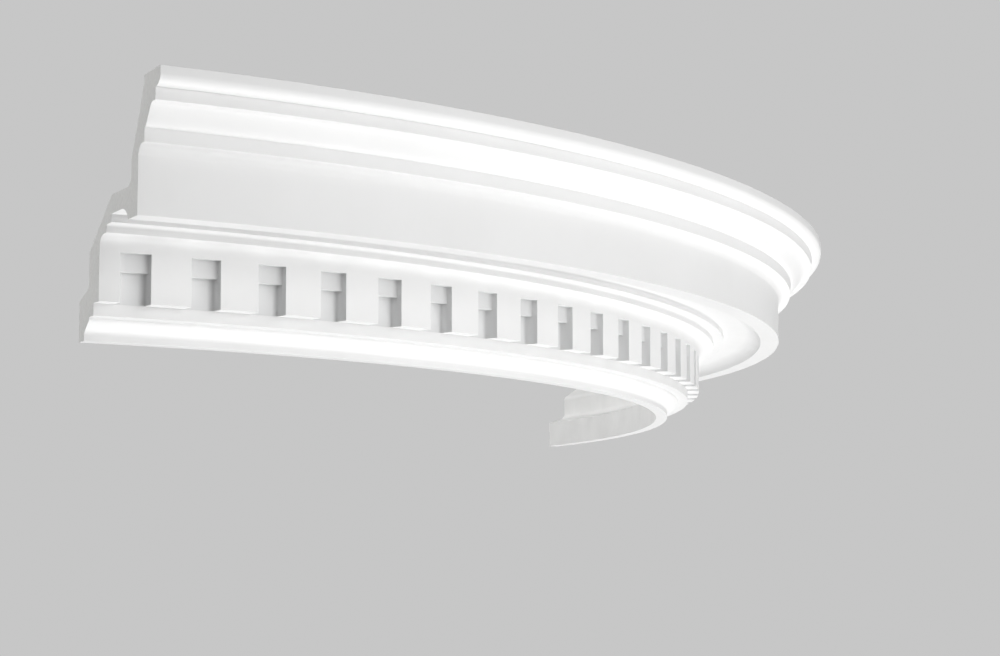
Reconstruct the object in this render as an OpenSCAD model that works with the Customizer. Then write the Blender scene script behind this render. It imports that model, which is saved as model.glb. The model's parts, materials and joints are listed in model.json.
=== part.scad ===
// Curved dentil cornice: one moulding length that goes round a convex wall,
// in the corner between the wall and the ceiling. It is cast in one piece:
// a thin shell with two flat glueing lands, hollow behind.
//
// Frame: millimetres, +Z up. The origin lies at mid-length, in the middle of
// the ceiling land. The moulded front faces -Y at mid-length, the two ends
// lie towards +X and -X, and the centre of the curve is on the +Y axis.
//
// The section is drawn as corners [d, z, r]: d is the distance out from the
// wall, z the height (0 at the ceiling) and r the round at that corner.

/* [Overall] */
// Height of the section, from the wall foot to the ceiling
height = 170; // [140:1:220]
// Radius of the convex wall that the moulding goes round
wall_radius = 900; // [600:10:2000]
// Angle that the length sweeps through, from cut end to cut end
sweep = 90; // [30:5:150]

/* [Crown, from the ceiling down] */
// Height of the upright band that meets the ceiling
crown_h = 5.5; // [3:0.5:15]
// How far the ovolo brings the crown out
ovolo_out = 10; // [5:0.5:16]
// Height of the ovolo
ovolo_h = 7.5; // [4:0.5:14]
// Height of the upper fascia
upper_fascia_h = 8.8; // [5:0.2:16]
// Width of the flat ledge under the upper fascia
cyma_ledge = 6; // [3:0.5:10]
// How far the cyma brings the crown out
cyma_out = 16; // [10:0.5:24]
// Height of the cyma
cyma_h = 15; // [10:0.5:22]
// Height of the lower fascia
lower_fascia_h = 9.8; // [5:0.2:16]
// Width of the flat ledge under the lower fascia
cove_ledge = 4.7; // [2:0.1:9]
// Radius of the cove on top of the corona
cove_r = 7.8; // [4:0.2:12]

/* [Corona and throat] */
// Width of the level soffit under the corona
soffit_w = 19; // [12:0.5:28]
// Width of the curve that leads from the soffit up into the throat
throat_curve_w = 16; // [10:0.5:22]
// Height of the throat above the soffit
throat_rise = 9.5; // [5:0.5:14]
// Width of the level part of the throat
throat_flat_w = 22.5; // [12:0.5:32]

/* [Bed mouldings, from the throat down] */
// Height of the outer bed fillet
outer_fillet_h = 5.8; // [3:0.2:10]
// Width of the ledge under the outer bed fillet
outer_ledge = 11; // [7:0.5:16]
// Radius of the small round in the corner above the inner bed fillet
ledge_r = 2; // [0.5:0.5:4]
// Height of the inner bed fillet, with that round
inner_fillet_h = 5.8; // [4.5:0.2:10]
// Width of the flat ledge under the inner bed fillet
bed_ledge = 6.5; // [3:0.5:12]
// Radius of the cove above the dentils
bed_cove_r = 9; // [4:0.5:12]

/* [Dentils] */
// Wished distance from one dentil to the next, along the dentil faces
dentil_pitch = 55; // [40:1:90]
// Width of the gap between two dentils, along the dentil faces
gap_w = 23.4; // [12:0.2:30]
// Height of the dentils
dentil_h = 36.5; // [24:0.5:50]
// Height of the plain strip between the dentils and the cove
strip_h = 2; // [1:0.5:8]
// How far the dentils stand out from the fascia below them
dentil_out = 12; // [8:0.5:16]
// How far the floor of each gap stands out from that fascia
gap_floor_out = 0.5; // [0.2:0.1:1.5]
// How far the block in the top of each gap lies back from the dentil faces
block_back = 5.6; // [2:0.2:7]
// Height of the block in the top of each gap
block_h = 13.4; // [6:0.2:22]

/* [Foot] */
// Height of the fascia below the dentils
sill_h = 9; // [5:0.5:15]
// How far that fascia stands out from the ogee
sill_out = 10; // [5:0.5:16]
// Height of the ogee
ogee_h = 12.2; // [7:0.1:18]
// How far the ogee comes out from the foot fillet
ogee_out = 12; // [6:0.5:18]
// Height of the foot fillet
foot_h = 4; // [2:0.5:9]
// How far the foot fillet stands out from the wall
foot_out = 12; // [6:0.5:20]

/* [Back] */
// Width of the flat land that is glued to the ceiling
ceiling_land = 33.5; // [20:0.5:45]
// Height of the land that is glued to the wall
wall_land = 30; // [18:0.5:36]
// Wall thickness behind the corona
corona_wall = 14.5; // [8:0.5:24]
// Wall thickness above the throat
throat_wall = 13.7; // [8:0.1:20]
// Wall thickness behind the gaps between the dentils
gap_wall = 11.5; // [7:0.5:18]
// Round of the inner corners of the back
back_r = 7; // [3:0.5:10]
// Round of the moulded outer edges
edge_r = 0.8; // [0.2:0.1:1.5]

/* [Hidden] */
$fn = 180;
round_steps = 5;   // straight steps in a rounded corner
curve_steps = 10;  // straight steps in a cyma, an ogee or the throat curve
clear = 5;         // how far a cutter starts outside what it cuts

// Faces of the section, as distances from the wall
foot_d = foot_out;
ogee_d = foot_d + ogee_out;
sill_d = ogee_d + sill_out;
dentil_d = sill_d + dentil_out;
gap_floor_d = sill_d + gap_floor_out;
inner_fillet_d = dentil_d + bed_cove_r + bed_ledge;
outer_fillet_d = inner_fillet_d + outer_ledge;
throat_d = outer_fillet_d + throat_flat_w;
lip_d = throat_d + throat_curve_w;
corona_d = lip_d + soffit_w;
lower_fascia_d = corona_d + cove_r + cove_ledge;
cyma_d = lower_fascia_d + cyma_out;
upper_fascia_d = cyma_d + cyma_ledge;
crown_d = upper_fascia_d + ovolo_out;

// Levels of the section, those of the crown from the ceiling down
ovolo_z = -crown_h;
upper_fascia_z = ovolo_z - ovolo_h;
cyma_z = upper_fascia_z - upper_fascia_h;
lower_fascia_z = cyma_z - cyma_h;
cove_z = lower_fascia_z - lower_fascia_h;
// and the others from the wall foot up: the corona takes what height is left
foot_z = -height;
ogee_z = foot_z + foot_h;
sill_z = ogee_z + ogee_h;
dentil_z = sill_z + sill_h;
gap_z = dentil_z + dentil_h;
bed_cove_z = gap_z + strip_h + bed_cove_r;
inner_fillet_z = bed_cove_z + inner_fillet_h;
throat_z = inner_fillet_z + outer_fillet_h;
soffit_z = throat_z - throat_rise;

// Back of the shell
land_d = crown_d - ceiling_land;
corona_back_d = corona_d - corona_wall;
shelf_z = throat_z + throat_wall;
gap_back_d = sill_d - gap_wall;
wall_land_z = foot_z + wall_land;

// Placing along the curve
dentil_r = wall_radius + dentil_d;
pitches = round(sweep * PI / 180 * dentil_r / dentil_pitch);
pitch_angle = sweep / pitches;
gap_angle = gap_w / dentil_r * 180 / PI;

function unit(v) = v / norm(v);
function flat(p) = [p.x, p.y];

// Points that round the corner at b, between a and c, with radius r
function corner(a, b, c, r) =
    r == 0 ? [b] :
    let (
        u = unit(a - b),
        v = unit(c - b),
        half = acos(u * v) / 2,
        centre = b + unit(u + v) * r / sin(half),
        from = b + u * r / tan(half) - centre,
        to = b + v * r / tan(half) - centre,
        start = atan2(from.y, from.x),
        turn = (atan2(to.y, to.x) - start + 540) % 360 - 180
    )
    [for (i = [0 : round_steps])
        let (a = start + turn * i / round_steps)
        centre + r * [cos(a), sin(a)]];

// Outline of a closed path of corners [d, z, r]
function rounded(path) =
    let (n = len(path))
    [for (i = [0 : n - 1])
        each corner(flat(path[(i + n - 1) % n]), flat(path[i]), flat(path[(i + 1) % n]), path[i].z)];

// Quarter of an ellipse from an upright face at a to a level one at b
function quarter(a, b) =
    [for (i = [0 : curve_steps])
        let (t = 90 * i / curve_steps)
        [b.x + (a.x - b.x) * cos(t), a.y + (b.y - a.y) * sin(t), 0]];

// S-curve that starts and ends level
function level_wave(a, b) =
    [for (i = [0 : curve_steps])
        let (t = i / curve_steps)
        [a.x + (b.x - a.x) * t, a.y + (b.y - a.y) * (1 - cos(180 * t)) / 2, 0]];

// S-curve that starts and ends upright
function upright_wave(a, b) =
    [for (i = [0 : curve_steps])
        let (t = i / curve_steps)
        [a.x + (b.x - a.x) * (1 - cos(180 * t)) / 2, a.y + (b.y - a.y) * t, 0]];

// Round arc from a to b that ends level at b, above it
function rising_arc(a, b) =
    let (
        w = a.x - b.x,
        h = b.y - a.y,
        r = (w * w + h * h) / (2 * h),
        start = acos(w / r)
    )
    [for (i = [0 : curve_steps])
        let (t = start + (90 - start) * i / curve_steps)
        [b.x + r * cos(t), b.y - r + r * sin(t), 0]];

// Front of the section, from the ceiling down to the wall foot
crown_path = concat(
    [[crown_d, 0, 0]],
    quarter([crown_d, ovolo_z], [upper_fascia_d, upper_fascia_z]),
    [[upper_fascia_d, cyma_z, edge_r]],
    level_wave([cyma_d, cyma_z], [lower_fascia_d, lower_fascia_z]),
    [
        [lower_fascia_d, cove_z, edge_r],
        [corona_d, cove_z, cove_r],
        [corona_d, soffit_z, edge_r]
    ]
);
bed_path = concat(
    rising_arc([lip_d, soffit_z], [throat_d, throat_z]),
    [
        [outer_fillet_d, throat_z, 0],
        [outer_fillet_d, inner_fillet_z, edge_r],
        [inner_fillet_d, inner_fillet_z, ledge_r],
        [inner_fillet_d, bed_cove_z, edge_r],
        [dentil_d, bed_cove_z, bed_cove_r],
        [dentil_d, dentil_z, 0],
        [sill_d, dentil_z, 0],
        [sill_d, sill_z, edge_r]
    ],
    upright_wave([ogee_d, sill_z], [foot_d, ogee_z]),
    [[foot_d, foot_z, edge_r]]
);
// Back of the section, from the wall foot up to the ceiling
back_path = [
    [0, foot_z, 0],
    [0, wall_land_z, 0],
    [gap_back_d, wall_land_z + gap_back_d / 3, back_r],
    [gap_back_d, gap_z + strip_h, back_r],
    [outer_fillet_d, shelf_z, back_r],
    [corona_back_d, shelf_z, back_r],
    [corona_back_d, cove_z - cove_r, back_r],
    [land_d, ovolo_z, back_r],
    [land_d, 0, 0]
];

// Turns a section, drawn as d and z, round the centre of the curve
module sweep_round(outline, angle) {
    rotate_extrude(angle = angle)
        translate([wall_radius, 0])
            polygon(outline);
}

// The moulding without the gaps between its dentils, starting on the X axis
module run() {
    sweep_round(rounded(concat(crown_path, bed_path, back_path)), sweep);
}

// What one gap takes out: its full depth below, less where the block stays
module gap() {
    sweep_round([
        [gap_floor_d, dentil_z - clear],
        [dentil_d + clear, dentil_z - clear],
        [dentil_d + clear, gap_z],
        [dentil_d - block_back, gap_z],
        [dentil_d - block_back, gap_z - block_h],
        [gap_floor_d, gap_z - block_h]
    ], gap_angle);
}

// Each end is cut through the middle of a dentil
module cornice() {
    color("white")
        translate([0, wall_radius + crown_d - ceiling_land / 2, 0])
            rotate([0, 0, -90 - sweep / 2])
                difference() {
                    run();
                    for (i = [0 : pitches - 1])
                        rotate([0, 0, (i + 0.5) * pitch_angle - gap_angle / 2])
                            gap();
                }
}

cornice();
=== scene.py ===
"""Curved dentil cornice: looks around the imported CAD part.

The CAD node is replaced by a finer mesh of the same shape. Its section is drawn from the same
few sizes, swept round the curve with a recess for every gap between the dentils, and its
moulded arrises are eased. Distances d are measured out from the wall, heights z from the
ceiling face, both in metres.
"""
import json
import math

import bmesh
import bpy
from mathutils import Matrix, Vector


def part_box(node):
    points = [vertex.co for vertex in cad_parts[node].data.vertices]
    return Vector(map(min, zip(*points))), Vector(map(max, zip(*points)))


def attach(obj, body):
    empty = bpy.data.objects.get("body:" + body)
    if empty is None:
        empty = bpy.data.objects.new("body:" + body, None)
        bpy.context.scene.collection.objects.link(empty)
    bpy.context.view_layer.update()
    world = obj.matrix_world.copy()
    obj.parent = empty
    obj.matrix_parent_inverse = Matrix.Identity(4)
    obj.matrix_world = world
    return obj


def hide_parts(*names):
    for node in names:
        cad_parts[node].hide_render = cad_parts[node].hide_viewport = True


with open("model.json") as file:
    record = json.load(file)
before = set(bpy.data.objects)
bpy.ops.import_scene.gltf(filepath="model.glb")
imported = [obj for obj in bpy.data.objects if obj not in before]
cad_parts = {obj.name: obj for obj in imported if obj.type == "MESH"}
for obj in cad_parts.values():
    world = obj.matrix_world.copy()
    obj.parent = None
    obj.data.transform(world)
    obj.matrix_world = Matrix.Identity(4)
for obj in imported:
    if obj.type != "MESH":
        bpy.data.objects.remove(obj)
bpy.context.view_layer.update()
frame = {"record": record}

MM = 0.001

# ---------------------------------------------------------------- sizes from the frame
MOUNTS = {m["name"]: m for m in frame["record"]["mounts"]}
LOW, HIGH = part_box("cornice")
HEIGHT = HIGH.z - LOW.z
WALL_RADIUS = MOUNTS["wall_face"]["dims"]["r_mm"] * MM
END_AXIS = MOUNTS["end_face_right"]["axis"]
SWEEP = 2 * math.atan2(END_AXIS[1], END_AXIS[0])

# ---------------------------------------------------------------- sizes of the section
CROWN_H = 5.5 * MM
OVOLO_OUT, OVOLO_H = 10 * MM, 7.5 * MM
UPPER_FASCIA_H = 8.8 * MM
CYMA_LEDGE, CYMA_OUT, CYMA_H = 6 * MM, 16 * MM, 15 * MM
LOWER_FASCIA_H = 9.8 * MM
COVE_LEDGE, COVE_R = 4.7 * MM, 7.8 * MM
SOFFIT_W = 19 * MM
THROAT_CURVE_W, THROAT_RISE, THROAT_FLAT_W = 16 * MM, 9.5 * MM, 22.5 * MM
OUTER_FILLET_H, OUTER_LEDGE = 5.8 * MM, 11 * MM
LEDGE_R = 2 * MM
INNER_FILLET_H = 5.8 * MM
BED_LEDGE, BED_COVE_R = 6.5 * MM, 9 * MM
DENTIL_PITCH, GAP_W, DENTIL_H, DENTIL_OUT = 55 * MM, 23.4 * MM, 36.5 * MM, 12 * MM
STRIP_H = 2 * MM
GAP_FLOOR_OUT = 0.5 * MM
BLOCK_BACK, BLOCK_H = 5.6 * MM, 13.4 * MM
SILL_H, SILL_OUT = 9 * MM, 10 * MM
OGEE_H, OGEE_OUT = 12.2 * MM, 12 * MM
FOOT_H, FOOT_OUT = 4 * MM, 12 * MM
CEILING_LAND, WALL_LAND = 33.5 * MM, 30 * MM
CORONA_WALL, THROAT_WALL, GAP_WALL = 14.5 * MM, 13.7 * MM, 11.5 * MM
BACK_R = 7 * MM

# ---------------------------------------------------------------- fineness of the mesh
ROUND_STEPS = 7       # straight steps in a rounded corner
CURVE_STEPS = 14      # straight steps in a cyma, an ogee, the ovolo or the throat curve
DENTIL_STEPS = 4      # steps along half a dentil
GAP_STEPS = 4         # steps along a gap
EASE = 0.4 * MM       # width of the eased arrises
EASE_STEPS = 3        # straight steps across an eased arris
CUT_EASE = 0.35       # width along the edges of the two cut ends, as a share of EASE
SHARP = math.radians(30)     # an outward edge sharper than this is eased
NEAR = 0.1 * MM       # slack in telling whether a vertex lies at a level or a face

# ---------------------------------------------------------------- derived faces and levels
foot_d = FOOT_OUT
ogee_d = foot_d + OGEE_OUT
sill_d = ogee_d + SILL_OUT
dentil_d = sill_d + DENTIL_OUT
gap_floor_d = sill_d + GAP_FLOOR_OUT
block_d = dentil_d - BLOCK_BACK
inner_fillet_d = dentil_d + BED_COVE_R + BED_LEDGE
outer_fillet_d = inner_fillet_d + OUTER_LEDGE
throat_d = outer_fillet_d + THROAT_FLAT_W
lip_d = throat_d + THROAT_CURVE_W
corona_d = lip_d + SOFFIT_W
lower_fascia_d = corona_d + COVE_R + COVE_LEDGE
cyma_d = lower_fascia_d + CYMA_OUT
upper_fascia_d = cyma_d + CYMA_LEDGE
crown_d = upper_fascia_d + OVOLO_OUT

ovolo_z = -CROWN_H
upper_fascia_z = ovolo_z - OVOLO_H
cyma_z = upper_fascia_z - UPPER_FASCIA_H
lower_fascia_z = cyma_z - CYMA_H
cove_z = lower_fascia_z - LOWER_FASCIA_H
foot_z = -HEIGHT
ogee_z = foot_z + FOOT_H
sill_z = ogee_z + OGEE_H
dentil_z = sill_z + SILL_H
gap_z = dentil_z + DENTIL_H
block_z = gap_z - BLOCK_H
bed_cove_z = gap_z + STRIP_H + BED_COVE_R
inner_fillet_z = bed_cove_z + INNER_FILLET_H
throat_z = inner_fillet_z + OUTER_FILLET_H
soffit_z = throat_z - THROAT_RISE

land_d = crown_d - CEILING_LAND
corona_back_d = corona_d - CORONA_WALL
shelf_z = throat_z + THROAT_WALL
gap_back_d = sill_d - GAP_WALL
wall_land_z = foot_z + WALL_LAND

# ---------------------------------------------------------------- placing along the curve
CENTRE = Vector((0, WALL_RADIUS + crown_d - CEILING_LAND / 2, 0))
dentil_r = WALL_RADIUS + dentil_d
PITCHES = round(SWEEP * dentil_r / DENTIL_PITCH)
PITCH_ANGLE = SWEEP / PITCHES
GAP_ANGLE = GAP_W / dentil_r
START = -math.pi / 2 - SWEEP / 2     # the left end, seen from the front


# ================================================================ section
def corner(before, at, after, radius):
    """Points that round the corner at `at` between its neighbours."""
    if radius == 0:
        return [at]
    at, u, v = Vector(at), Vector(before) - Vector(at), Vector(after) - Vector(at)
    u.normalize()
    v.normalize()
    half = math.acos(u.dot(v)) / 2
    centre = at + (u + v).normalized() * radius / math.sin(half)
    first = at + u * radius / math.tan(half) - centre
    last = at + v * radius / math.tan(half) - centre
    start = math.atan2(first.y, first.x)
    turn = math.remainder(math.atan2(last.y, last.x) - start, math.tau)
    angles = [start + turn * i / ROUND_STEPS for i in range(ROUND_STEPS + 1)]
    return [(centre.x + radius * math.cos(a), centre.y + radius * math.sin(a)) for a in angles]


def rounded(path):
    """Outline of a closed path of corners (d, z, r)."""
    points = []
    for i, (d, z, r) in enumerate(path):
        before, after = path[i - 1], path[(i + 1) % len(path)]
        points += corner(before[:2], (d, z), after[:2], r)
    return points


def stepped(curve):
    """The points of a curve, given as a function of a share from 0 to 1."""
    return [(*curve(i / CURVE_STEPS), 0) for i in range(CURVE_STEPS + 1)]


def wave(t):
    """Rises from 0 to 1 with t, level at both ends."""
    return (1 - math.cos(math.pi * t)) / 2


def quarter(a, b):
    """Quarter of an ellipse from an upright face at a to a level one at b."""
    return stepped(lambda t: (b[0] + (a[0] - b[0]) * math.cos(t * math.pi / 2),
                              a[1] + (b[1] - a[1]) * math.sin(t * math.pi / 2)))


def level_wave(a, b):
    """S-curve that starts and ends level."""
    return stepped(lambda t: (a[0] + (b[0] - a[0]) * t, a[1] + (b[1] - a[1]) * wave(t)))


def upright_wave(a, b):
    """S-curve that starts and ends upright."""
    return stepped(lambda t: (a[0] + (b[0] - a[0]) * wave(t), a[1] + (b[1] - a[1]) * t))


def rising_arc(a, b):
    """Round arc from a to b that ends level at b, above it."""
    w, h = a[0] - b[0], b[1] - a[1]
    r = (w * w + h * h) / (2 * h)
    first = math.acos(w / r)

    def point(t):
        angle = first + (math.pi / 2 - first) * t
        return b[0] + r * math.cos(angle), b[1] - r + r * math.sin(angle)
    return stepped(point)


# The parts of the section, from the ceiling down the front and up the back
def crown_path():
    return [
        (crown_d, 0, 0),
        *quarter((crown_d, ovolo_z), (upper_fascia_d, upper_fascia_z)),
        (upper_fascia_d, cyma_z, 0),
        *level_wave((cyma_d, cyma_z), (lower_fascia_d, lower_fascia_z)),
        (lower_fascia_d, cove_z, 0),
        (corona_d, cove_z, COVE_R),
        (corona_d, soffit_z, 0),
    ]


def bed_path():
    return [
        *rising_arc((lip_d, soffit_z), (throat_d, throat_z)),
        (outer_fillet_d, throat_z, 0),
        (outer_fillet_d, inner_fillet_z, 0),
        (inner_fillet_d, inner_fillet_z, LEDGE_R),
        (inner_fillet_d, bed_cove_z, 0),
        (dentil_d, bed_cove_z, BED_COVE_R),
        (dentil_d, gap_z, 0),
    ]


def dentil_path():
    """A dentil, with a point level with the underside of the blocks beside it."""
    return [(dentil_d, block_z, 0), (dentil_d, dentil_z, 0), (gap_floor_d, dentil_z, 0)]


def gap_path():
    """A gap: the block in its top, and its floor."""
    return [(block_d, gap_z, 0), (block_d, block_z, 0), (gap_floor_d, block_z, 0),
            (gap_floor_d, dentil_z, 0)]


def foot_path():
    return [
        (sill_d, dentil_z, 0),
        (sill_d, sill_z, 0),
        *upright_wave((ogee_d, sill_z), (foot_d, ogee_z)),
        (foot_d, foot_z, 0),
    ]


def back_path():
    return [
        (0, foot_z, 0),
        (0, wall_land_z, 0),
        (gap_back_d, wall_land_z + gap_back_d / 3, BACK_R),
        (gap_back_d, gap_z + STRIP_H, BACK_R),
        (outer_fillet_d, shelf_z, BACK_R),
        (corona_back_d, shelf_z, BACK_R),
        (corona_back_d, cove_z - COVE_R, BACK_R),
        (land_d, ovolo_z, BACK_R),
        (land_d, 0, 0),
    ]


def section(band):
    """Closed outline with `band` as its part between the dentils' top and the sill."""
    return rounded(crown_path() + bed_path() + band + foot_path() + back_path())


# ================================================================ mesh
# Material slots of the mesh, in the order in which cornice() fills them
# The last slot is the greyer colour inside the gaps, which is painted shade
FRONT, CUT, BACK, PAINTED_SHADE_RECESS = range(4)


def stretches():
    """Angles along the curve, and for the stretch after each whether it is a gap."""
    half_dentil = (PITCH_ANGLE - GAP_ANGLE) / 2
    parts = (
        (half_dentil, DENTIL_STEPS, False),
        (GAP_ANGLE, GAP_STEPS, True),
        (half_dentil, DENTIL_STEPS, False),
    )
    cuts = []
    for pitch in range(PITCHES):
        angle = START + pitch * PITCH_ANGLE
        for width, steps, is_gap in parts:
            cuts += [(angle + width * i / steps, is_gap) for i in range(steps)]
            angle += width
    return cuts + [(START + SWEEP, False)]


class Weaver:
    """Makes faces from points (column, d, z), sharing the vertices that coincide."""

    def __init__(self, angles):
        self.bm = bmesh.new()
        self.angles = angles
        self.made = {}

    def vertex(self, column, point):
        """The vertex at a point (d, z), told from others to a ten-thousandth of a millimetre."""
        key = (column, *(round(c / MM, 4) for c in point))
        if key not in self.made:
            a, r = self.angles[column], WALL_RADIUS + point[0]
            place = CENTRE + Vector((r * math.cos(a), r * math.sin(a), point[1]))
            self.made[key] = self.bm.verts.new(place)
        return self.made[key]

    def face(self, corners, material):
        made = self.bm.faces.new([self.vertex(*c) for c in corners])
        made.material_index = material
        made.smooth = True


def gap_side(weaver, column):
    """The flat wall between a gap and a dentil: two faces that meet level with the block's foot."""
    upper = [(dentil_d, gap_z), (block_d, gap_z), (block_d, block_z), (dentil_d, block_z)]
    lower = [(dentil_d, block_z), (block_d, block_z), (gap_floor_d, block_z),
             (gap_floor_d, dentil_z), (dentil_d, dentil_z)]
    # The gap walls take the greyer colour, which is painted shade
    for wall in (upper, lower):
        weaver.face([(column, p) for p in wall], PAINTED_SHADE_RECESS)


def swept_mesh():
    """The section swept along the curve, with a recess at every gap and both ends closed."""
    cuts = stretches()
    weaver = Weaver([angle for angle, _ in cuts])
    outlines = {False: section(dentil_path()), True: section(gap_path())}
    recess = [(d, z) for d, z, _ in gap_path()]
    for k, (_, is_gap) in enumerate(cuts[:-1]):
        outline = outlines[is_gap]
        back_start = outline.index((0, foot_z))
        for i, a in enumerate(outline):
            b = outline[(i + 1) % len(outline)]
            material = BACK if i >= back_start else FRONT
            # Faces inside a gap take the greyer colour, which is painted shade
            if is_gap and b in recess:
                material = PAINTED_SHADE_RECESS
            weaver.face([(k, a), (k, b), (k + 1, b), (k + 1, a)], material)
        if k and is_gap != cuts[k - 1][1]:
            gap_side(weaver, k)
    for column in (0, len(cuts) - 1):
        weaver.face([(column, p) for p in outlines[False]], CUT)
    bmesh.ops.recalc_face_normals(weaver.bm, faces=weaver.bm.faces)
    mark_arrises(weaver.bm)
    mesh = bpy.data.meshes.new("cornice_moulding")
    weaver.bm.to_mesh(mesh)
    weaver.bm.free()
    return mesh


def is_gap_step(edge):
    """Whether an edge lies in the step at the foot of the gaps, too small to be eased."""
    level = all(abs(v.co.z - dentil_z) < NEAR for v in edge.verts)
    distances = [(v.co - CENTRE).xy.length - WALL_RADIUS for v in edge.verts]
    return level and max(distances) < gap_floor_d + NEAR


def mark_arrises(bm):
    """Gives the outward edges the weight with which the bevel eases them."""
    weight = bm.edges.layers.float.new("bevel_weight_edge")
    for edge in bm.edges:
        if edge.calc_face_angle_signed(0) > SHARP and not is_gap_step(edge):
            is_cut = any(f.material_index == CUT for f in edge.link_faces)
            edge[weight] = CUT_EASE if is_cut else 1


def cornice():
    piece = bpy.data.objects.new("cornice_moulding", swept_mesh())
    bpy.context.scene.collection.objects.link(piece)
    ease = piece.modifiers.new("eased_arrises", "BEVEL")
    ease.limit_method = "WEIGHT"
    ease.offset_type = "OFFSET"
    ease.width = EASE
    ease.segments = EASE_STEPS
    ease.use_clamp_overlap = False
    shade = piece.modifiers.new("even_shading", "WEIGHTED_NORMAL")
    shade.keep_sharp = False
    for material in (front_finish(), cut_finish(), back_finish(), recess_painted_shade_finish()):
        piece.data.materials.append(material)
    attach(piece, "root")
    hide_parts("cornice")


# ================================================================ materials
NOISE_SPAN = (0.3, 0.7)                  # noise values seldom lie outside these
MIX_A, MIX_B, MIX_RESULT = 6, 7, 2       # the colour sockets of a Mix node


def grey(value):
    return (value, value, value)


class Finish:
    """A material's nodes, with short calls for what the finishes share."""

    def __init__(self, name):
        self.material = bpy.data.materials.new(name)
        self.material.use_nodes = True
        self.tree = self.material.node_tree
        self.shader = self.tree.nodes["Principled BSDF"]
        self.place = self.tree.nodes.new("ShaderNodeTexCoord").outputs["Object"]

    def node(self, kind, inputs=None, **settings):
        """A new node whose inputs are values or the outputs of other nodes."""
        made = self.tree.nodes.new(kind)
        for name, value in settings.items():
            setattr(made, name, value)
        for name, value in (inputs or {}).items():
            if isinstance(value, bpy.types.NodeSocket):
                self.tree.links.new(value, made.inputs[name])
            else:
                made.inputs[name].default_value = value
        return made

    def noise(self, size, detail=3, stretch=(1, 1, 1)):
        """Noise whose lumps are about `size` metres wide."""
        place = self.node("ShaderNodeMapping", {"Vector": self.place, "Scale": stretch})
        made = self.node("ShaderNodeTexNoise", {
            "Vector": place.outputs[0], "Scale": 1 / size, "Detail": detail})
        return made.outputs["Fac"]

    def ranged(self, value, low, high):
        """The noise value mapped so that its usual span runs from low to high."""
        made = self.node("ShaderNodeMapRange", {
            "Value": value, "From Min": NOISE_SPAN[0], "From Max": NOISE_SPAN[1],
            "To Min": low, "To Max": high})
        return made.outputs[0]

    def bumped(self, height, depth, below=None):
        """A bumpy normal, `depth` metres deep, on top of the one below."""
        inputs = {"Height": height, "Distance": depth, "Strength": 1}
        if below:
            inputs["Normal"] = below
        return self.node("ShaderNodeBump", inputs).outputs[0]

    def tinted(self, share, dark, light):
        """A colour between dark and light."""
        made = self.node("ShaderNodeMix", data_type="RGBA")
        self.tree.links.new(share, made.inputs[0])
        made.inputs[MIX_A].default_value = (*dark, 1)
        made.inputs[MIX_B].default_value = (*light, 1)
        return made.outputs[MIX_RESULT]

    def finish(self, colour, roughness, normal, specular):
        """Joins the parts to the shader."""
        for name, value in (("Base Color", colour), ("Roughness", roughness), ("Normal", normal)):
            self.tree.links.new(value, self.shader.inputs[name])
        self.shader.inputs["Specular IOR Level"].default_value = specular
        return self.material


def primer(name, dark, light):
    """Sprayed white primer: a fine orange peel over faint long waves of the casting."""
    f = Finish(name)
    share = f.ranged(f.noise(size=90 * MM, detail=4), low=0, high=1)
    roughness = f.ranged(f.noise(size=14 * MM, detail=4), low=0.46, high=0.58)
    waves = f.bumped(f.noise(size=45 * MM, detail=2), depth=0.06 * MM)
    peel = f.bumped(f.noise(size=1.6 * MM, detail=2), depth=0.05 * MM, below=waves)
    return f.finish(f.tinted(share, dark, light), roughness, peel, specular=0.4)


def front_finish():
    return primer("white_primer_front", dark=(0.790, 0.790, 0.787), light=(0.815, 0.815, 0.813))


def recess_painted_shade_finish():
    """The insides of the gaps: painted shade, a greyer colour than the faces, set so that the gaps
    look as dark as they do in shade.
    """
    return primer("white_primer_painted_shade", dark=(0.660, 0.663, 0.663), light=(0.700, 0.702, 0.702))


def cut_finish():
    """The two sawn ends: bare dense foam, with upright saw marks and fine open cells."""
    f = Finish("sawn_foam")
    share = f.ranged(f.noise(size=2.5 * MM, detail=5), low=0, high=1)
    colour = f.tinted(share, dark=(0.74, 0.74, 0.725), light=(0.80, 0.80, 0.785))
    roughness = f.ranged(f.noise(size=4 * MM), low=0.72, high=0.88)
    marks = f.bumped(f.noise(size=1.5 * MM, stretch=(1, 1, 0.06)), depth=0.12 * MM)
    cells = f.bumped(f.noise(size=0.8 * MM), depth=0.08 * MM, below=marks)
    return f.finish(colour, roughness, cells, specular=0.25)


def back_finish():
    """The back as it left the mould: unprimed, duller and slightly pitted."""
    f = Finish("moulded_back")
    share = f.ranged(f.noise(size=35 * MM, detail=5), low=0, high=1)
    colour = f.tinted(share, dark=(0.74, 0.74, 0.73), light=(0.80, 0.80, 0.79))
    roughness = f.ranged(f.noise(size=9 * MM, detail=4), low=0.60, high=0.78)
    skin = f.bumped(f.noise(size=22 * MM, detail=4), depth=0.25 * MM)
    pits = f.bumped(f.noise(size=2.2 * MM, detail=4), depth=0.09 * MM, below=skin)
    return f.finish(colour, roughness, pits, specular=0.3)


# ================================================================ surroundings
BACKDROP = 0.57       # brightness of the backdrop as the camera sees it
AMBIENT = 0.16        # brightness of the surroundings as the object sees them
FLOOR_Z = -4.0        # low enough for the lights below the object to stand over it
FLOOR_HALF = 80       # half the width of the floor
FLOOR_WHITE = 0.5     # share of the light that the floor gives back
FLOOR_VARIES = 0.01   # how far that share differs from place to place
FLOOR_GLOW = BACKDROP - FLOOR_WHITE * AMBIENT    # makes the far floor as bright as the backdrop
LIGHT_DISTANCE = 3.6  # from the middle of the object
LIGHT_SIZE = 2.6      # side of each square light
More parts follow.
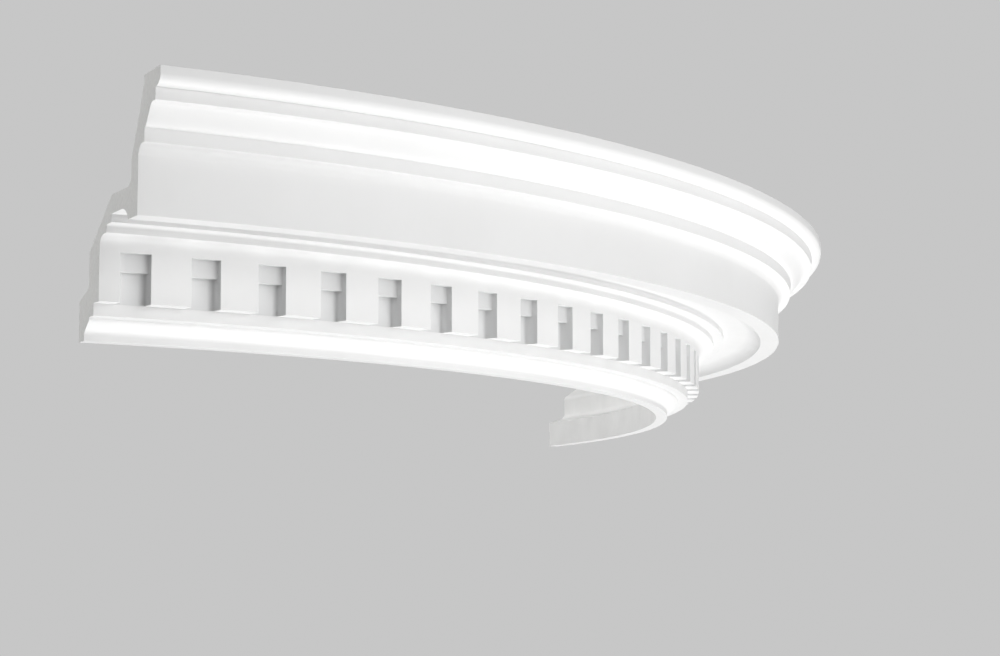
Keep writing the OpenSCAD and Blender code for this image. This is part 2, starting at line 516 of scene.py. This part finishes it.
# name: bearing from +X towards +Y and height, in degrees, and power in watts. The powers were
# fitted to how bright the photograph shows each face of the moulding, then adjusted.
LIGHTS = {
    "front": (-95, 0, 28),
    "left": (-130, 0, 61),
    "below": (-60, -75, 136),
    "above": (-100, 40, 19),
    "side": (-10, -30, 10),
    "beyond_end": (110, -10, 40),
    "behind": (80, 35, 92),
}


def floor():
    bpy.ops.mesh.primitive_plane_add(size=2 * FLOOR_HALF, location=(0, 0, FLOOR_Z))
    piece = bpy.context.object
    piece.name = "floor"
    piece.data.materials.append(floor_finish())


def floor_finish():
    """Plain, pale and matt."""
    f = Finish("pale_floor")
    share = f.ranged(f.noise(size=0.6), low=0, high=1)
    colour = f.tinted(share, grey(FLOOR_WHITE - FLOOR_VARIES), grey(FLOOR_WHITE + FLOOR_VARIES))
    roughness = f.ranged(f.noise(size=0.1), low=0.7, high=0.8)
    f.finish(colour, roughness, f.bumped(f.noise(size=0.01), depth=0.05 * MM), specular=0.2)
    shown_pale(f)
    open_below(f)
    return f.material


def shown_pale(f):
    """Shows the floor as bright as the backdrop, without it lighting the object."""
    seen = f.node("ShaderNodeLightPath").outputs["Is Camera Ray"]
    glow = f.node("ShaderNodeMath", {0: seen, 1: FLOOR_GLOW}, operation="MULTIPLY")
    f.shader.inputs["Emission Color"].default_value = (1, 1, 1, 1)
    f.tree.links.new(glow.outputs[0], f.shader.inputs["Emission Strength"])


def open_below(f):
    """Lets a view from under the floor look through it."""
    side = f.node("ShaderNodeNewGeometry").outputs["Backfacing"]
    clear = f.node("ShaderNodeBsdfTransparent").outputs[0]
    mix = f.node("ShaderNodeMixShader", {0: side, 1: f.shader.outputs[0], 2: clear})
    f.tree.links.new(mix.outputs[0], f.tree.nodes["Material Output"].inputs["Surface"])


def softbox(name, bearing, height, power):
    """A large square light that faces the object."""
    data = bpy.data.lights.new(name, "AREA")
    data.energy = power
    data.size = LIGHT_SIZE
    lamp = bpy.data.objects.new(name, data)
    bpy.context.scene.collection.objects.link(lamp)
    b, h = math.radians(bearing), math.radians(height)
    towards = Vector((math.cos(b) * math.cos(h), math.sin(b) * math.cos(h), math.sin(h)))
    lamp.location = (LOW + HIGH) / 2 + towards * LIGHT_DISTANCE
    lamp.rotation_mode = "QUATERNION"
    lamp.rotation_quaternion = towards.to_track_quat("Z", "Y")
    lamp.visible_camera = False


def studio():
    """Even surroundings, shown to the camera brighter than they light the object."""
    world = bpy.data.worlds.new("studio")
    world.use_nodes = True
    tree = world.node_tree
    tree.nodes.clear()
    seen, felt = (tree.nodes.new("ShaderNodeBackground") for _ in range(2))
    seen.inputs["Strength"].default_value = BACKDROP
    felt.inputs["Strength"].default_value = AMBIENT
    for shown in (seen, felt):
        shown.inputs["Color"].default_value = (1, 1, 1, 1)
    mix = tree.nodes.new("ShaderNodeMixShader")
    output = tree.nodes.new("ShaderNodeOutputWorld")
    path = tree.nodes.new("ShaderNodeLightPath")
    tree.links.new(path.outputs["Is Camera Ray"], mix.inputs[0])
    tree.links.new(felt.outputs[0], mix.inputs[1])
    tree.links.new(seen.outputs[0], mix.inputs[2])
    tree.links.new(mix.outputs[0], output.inputs[0])
    return world


def surroundings():
    bpy.context.scene.view_settings.view_transform = "Standard"
    bpy.context.scene.world = studio()
    for name, (bearing, height, power) in LIGHTS.items():
        softbox(name, bearing, height, power)
    floor()


# ================================================================ camera
# Fitted to the edges in the photograph. Angles are in degrees, bearings from +X towards +Y.
CAMERA_AWAY = 2.4700         # distance from the centre of the curve
CAMERA_BEARING = -145.763    # where it stands, seen from that centre
CAMERA_DROP = 0.3436         # how far below the ceiling face
CAMERA_HEADING = 17.029      # bearing in which it looks
CAMERA_PITCH = 5.122         # how far upwards it looks
LENS_MM, SENSOR_MM = 77.32, 36
SHIFT_UP = 0.06              # share of the image width


def camera():
    data = bpy.data.cameras.new("camera")
    data.sensor_width = SENSOR_MM
    data.lens = LENS_MM
    data.shift_y = SHIFT_UP
    made = bpy.data.objects.new("camera", data)
    bpy.context.scene.collection.objects.link(made)
    bearing = math.radians(CAMERA_BEARING)
    made.location = CENTRE + Vector((
        CAMERA_AWAY * math.cos(bearing), CAMERA_AWAY * math.sin(bearing), -CAMERA_DROP))
    # Unturned, a camera looks down: 90 degrees raise its view to the level, facing +Y
    made.rotation_euler = (math.radians(90 + CAMERA_PITCH), 0, math.radians(CAMERA_HEADING - 90))
    bpy.context.scene.camera = made


cornice()
surroundings()
camera()
